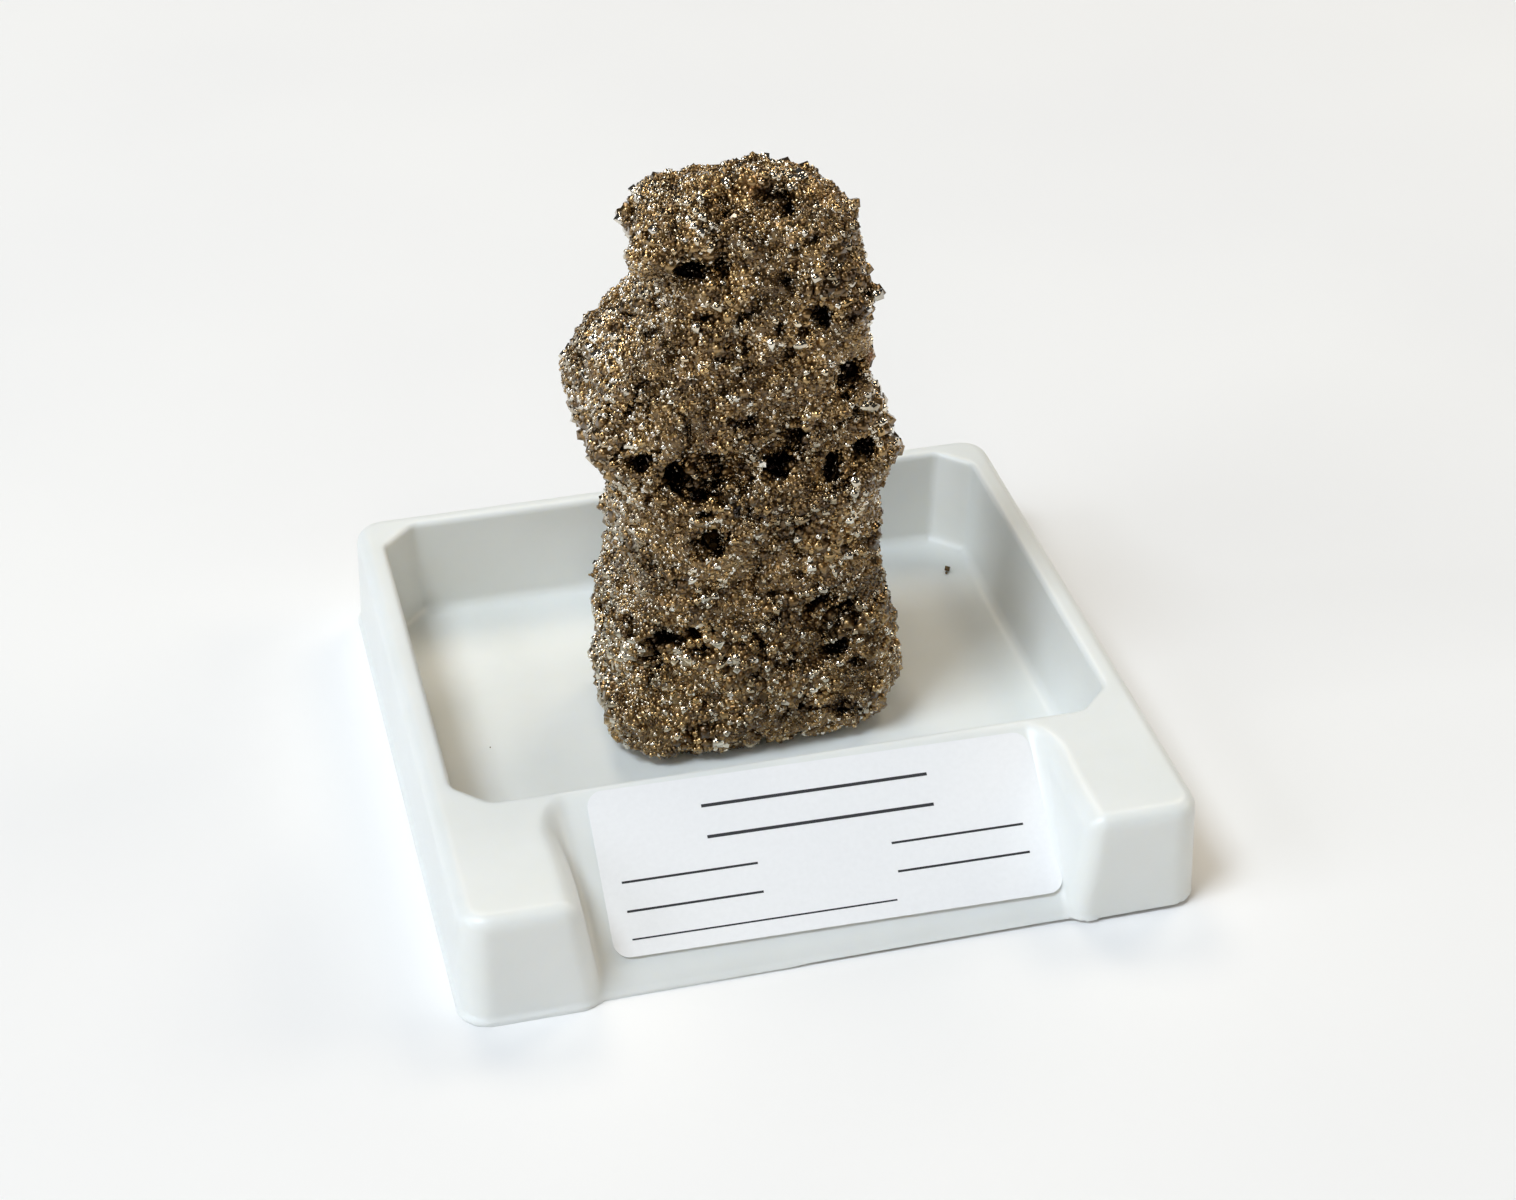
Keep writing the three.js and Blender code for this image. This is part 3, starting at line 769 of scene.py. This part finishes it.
def make_tray(material):
    """The formed tray, cut finely where it curves and coarsely where it is flat."""
    half = graded(GRID_HALF_X)
    lines = [np.concatenate([-half[:0:-1], half]), graded(GRID_Y), graded(GRID_Z)]
    field = tray_field(*np.meshgrid(*lines, indexing="ij"))
    places, number, below = net_corners(field, lines)
    faces = net_faces(number, below)
    places = settle(places, tray_field)
    mesh = bpy.data.meshes.new("tray_shell")
    mesh.from_pydata((places * MM).tolist(), [], faces.tolist())
    mesh.shade_smooth()
    mesh.set_sharp_from_angle(angle=SHARP_EDGE)
    new_piece("tray_shell", mesh, material, "tray_plastic", "tray")


def make_label(material):
    """The label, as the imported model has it."""
    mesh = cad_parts["label"].data.copy()
    new_piece("label_sheet", mesh, material, "label_paper", "label")


def make_label_rules(material):
    """Plain ruled lines for writing on, printed on the label: each is a flat strip just over the paper."""
    low, high = (Vector(corner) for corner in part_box("label"))
    along = Vector((math.cos(LABEL_TURN), math.sin(LABEL_TURN) * math.cos(RAMP_ANGLE),
                    math.sin(LABEL_TURN) * math.sin(RAMP_ANGLE)))
    out = Vector((0, -math.sin(RAMP_ANGLE), math.cos(RAMP_ANGLE)))
    up = out.cross(along)
    middle = (low + high) / 2 + out * (LABEL_THICKNESS / 2 + INK_LIFT) * MM
    corners = []
    strips = []
    for x, y, length, width in LABEL_RULES:
        for side, rise in ((-1, -1), (1, -1), (1, 1), (-1, 1)):
            corners.append(middle + (along * (x + side * length / 2) + up * (y + rise * width / 2)) * MM)
        strips.append(tuple(range(len(corners) - 4, len(corners))))
    mesh = bpy.data.meshes.new("label_rules")
    mesh.from_pydata(corners, [], strips)
    new_piece("label_rules", mesh, material, "label_paper")


# The setting

def make_table(material):
    """The plain floor that the tray stands on."""
    half = TABLE_HALF_WIDTH
    corners = [(-half, -half, 0), (half, -half, 0), (half, half, 0), (-half, half, 0)]
    mesh = bpy.data.meshes.new("table")
    mesh.from_pydata(corners, [], [(0, 1, 2, 3)])
    mesh.materials.append(material)
    table = bpy.data.objects.new("table", mesh)
    bpy.context.scene.collection.objects.link(table)


def make_light(name, place, size, power, colour):
    """A flat rectangular light that faces the object."""
    lamp = bpy.data.lights.new(name, "AREA")
    lamp.shape = "RECTANGLE"
    lamp.size, lamp.size_y = size
    lamp.energy = power
    lamp.color = linear(colour)[:3]
    light = bpy.data.objects.new(name, lamp)
    light.location = place
    light.rotation_euler = (Vector(LIGHT_AIM) - Vector(place)).to_track_quat("-Z", "Y").to_euler()
    bpy.context.scene.collection.objects.link(light)


def make_lights():
    """The studio's soft lights and glint lamps, and the faint light of the room."""
    for name, place, size, power, colour in SOFT_LIGHTS:
        make_light(name, place, size, power, colour)
    for number, place in enumerate(GLINT_LAMPS):
        size = (GLINT_LAMP_WIDTH, GLINT_LAMP_WIDTH)
        make_light(f"glint_lamp_{number}", place, size, GLINT_LAMP_POWER, "#ffffff")
    world = bpy.data.worlds.new("studio")
    bpy.context.scene.world = world
    world.use_nodes = True
    room = world.node_tree.nodes["Background"]
    room.inputs["Color"].default_value = linear(ROOM_COLOUR)
    room.inputs["Strength"].default_value = ROOM_STRENGTH


def make_camera():
    """The camera at the photograph's place, turn and field of view."""
    lens = bpy.data.cameras.new("camera")
    lens.sensor_fit = "HORIZONTAL"
    lens.sensor_width = SENSOR_WIDTH
    lens.lens = SENSOR_WIDTH * FOCAL_PIXELS / IMAGE_WIDTH
    lens.clip_start = CAMERA_NEAREST
    camera = bpy.data.objects.new("camera", lens)
    a, e = CAMERA_AZIMUTH, CAMERA_ELEVATION
    back = Vector((math.sin(a) * math.cos(e), -math.cos(a) * math.cos(e), math.sin(e)))
    right = Vector((math.cos(a), math.sin(a), 0))
    axes = Matrix((right, back.cross(right), back)).transposed()
    turned = axes @ Matrix.Rotation(CAMERA_ROLL, 3, "Z")
    camera.matrix_world = Matrix.Translation(CAMERA_PLACE) @ turned.to_4x4()
    bpy.context.scene.collection.objects.link(camera)
    bpy.context.scene.camera = camera


make_camera()
make_lights()
make_table(table_material())
pyrite = pyrite_material()
make_block(pyrite)
make_crumbs(pyrite)
make_tray(tray_material())
make_label(label_material())
make_label_rules(ink_material())
bpy.context.scene.view_settings.view_transform = "Standard"
